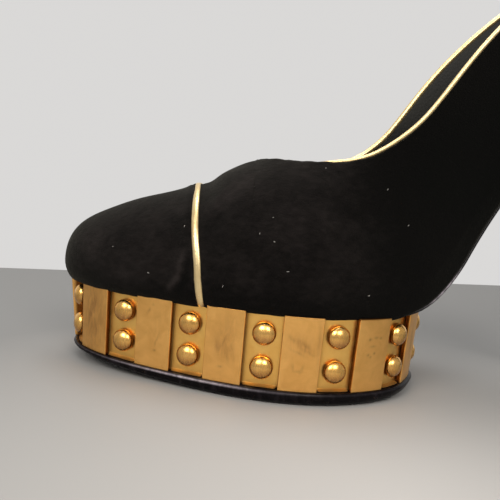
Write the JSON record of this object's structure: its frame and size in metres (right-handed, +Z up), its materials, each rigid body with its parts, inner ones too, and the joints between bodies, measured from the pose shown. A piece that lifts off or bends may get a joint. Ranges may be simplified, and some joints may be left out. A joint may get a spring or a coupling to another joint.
{
  "type": "platform pump",
  "caption": "Women's high-heeled pump in black suede with gold piping, a gold barred and studded platform under the forefoot, and a slim covered heel.",
  "frame": {"origin": "on the floor under the ball of the foot, on the outsole's flat underside", "axes": "+X from toe to heel, +Y from the inner side of the foot to the outer side, +Z up"},
  "size_m": [0.2183, 0.0823, 0.1816],
  "materials": {
    "black_suede": "napped suede",
    "gold_plate": "satin, scuffed",
    "gold_leather": "metallic gold leather",
    "black_sole": "polished black edge",
    "black_lining": "smooth lining leather",
    "heel_rubber": "matte"
  },
  "bodies": {
    "root": {"upper": "black_suede", "heel": "black_suede", "platform": "gold_plate", "outsole": "black_sole", "sole": "black_sole", "insole": "black_lining", "heel_tip": "heel_rubber", "vamp_piping": "gold_leather", "topline_piping": "gold_leather", "bar_01": "gold_plate", "bar_02": "gold_plate", "bar_03": "gold_plate", "bar_04": "gold_plate", "bar_05": "gold_plate", "bar_06": "gold_plate", "bar_07": "gold_plate", "bar_08": "gold_plate", "bar_09": "gold_plate", "bar_10": "gold_plate", "bar_11": "gold_plate", "bar_12": "gold_plate", "bar_13": "gold_plate", "stud_01a": "gold_plate", "stud_01b": "gold_plate", "stud_02a": "gold_plate", "stud_02b": "gold_plate", "stud_03a": "gold_plate", "stud_03b": "gold_plate", "stud_04a": "gold_plate", "stud_04b": "gold_plate", "stud_05a": "gold_plate", "stud_05b": "gold_plate", "stud_06a": "gold_plate", "stud_06b": "gold_plate", "stud_07a": "gold_plate", "stud_07b": "gold_plate", "stud_08a": "gold_plate", "stud_08b": "gold_plate", "stud_09a": "gold_plate", "stud_09b": "gold_plate", "stud_10a": "gold_plate", "stud_10b": "gold_plate", "stud_11a": "gold_plate", "stud_11b": "gold_plate", "stud_12a": "gold_plate", "stud_12b": "gold_plate", "stud_13a": "gold_plate", "stud_13b": "gold_plate"}
  },
  "joints": []
}
